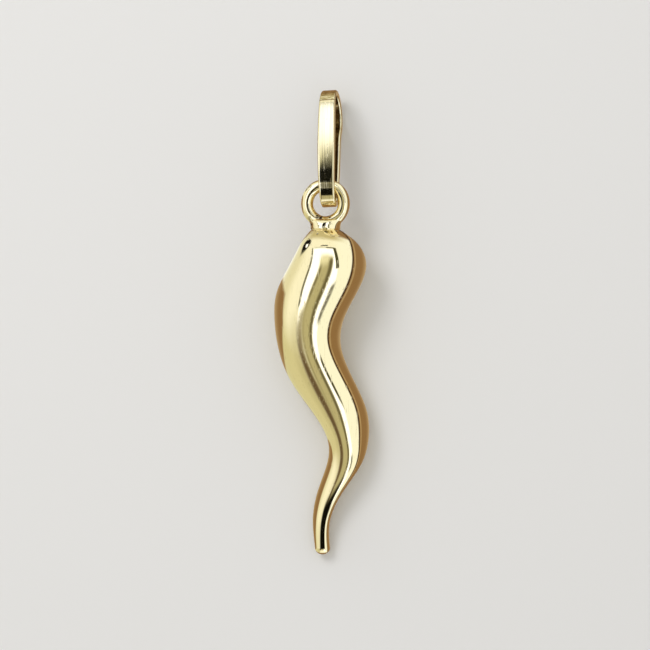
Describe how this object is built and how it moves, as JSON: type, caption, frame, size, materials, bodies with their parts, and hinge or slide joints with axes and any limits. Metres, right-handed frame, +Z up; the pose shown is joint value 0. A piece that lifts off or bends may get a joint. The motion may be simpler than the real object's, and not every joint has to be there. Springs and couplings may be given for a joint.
{
  "type": "cornicello horn pendant",
  "caption": "Polished yellow-gold horn charm in a slim double curve, hollow, with a collar and round eyelet soldered to its dome and a loose teardrop strip bail through the eyelet.",
  "frame": {"origin": "on the surface that the pendant lies on, under the middle of its box", "axes": "+Y from the horn's tip towards the bail, +X across the swing of the horn's curve, +Z up from the surface"},
  "size_m": [0.007, 0.0342, 0.0056],
  "materials": {
    "horn_gold": "mirror-polished pale yellow gold with faint hairline scratches",
    "bail_gold": "polished pale yellow gold strip with fine drawn lines along it and soft bright edges"
  },
  "bodies": {
    "root": {"horn": "horn_gold", "bail": "bail_gold"}
  },
  "joints": []
}
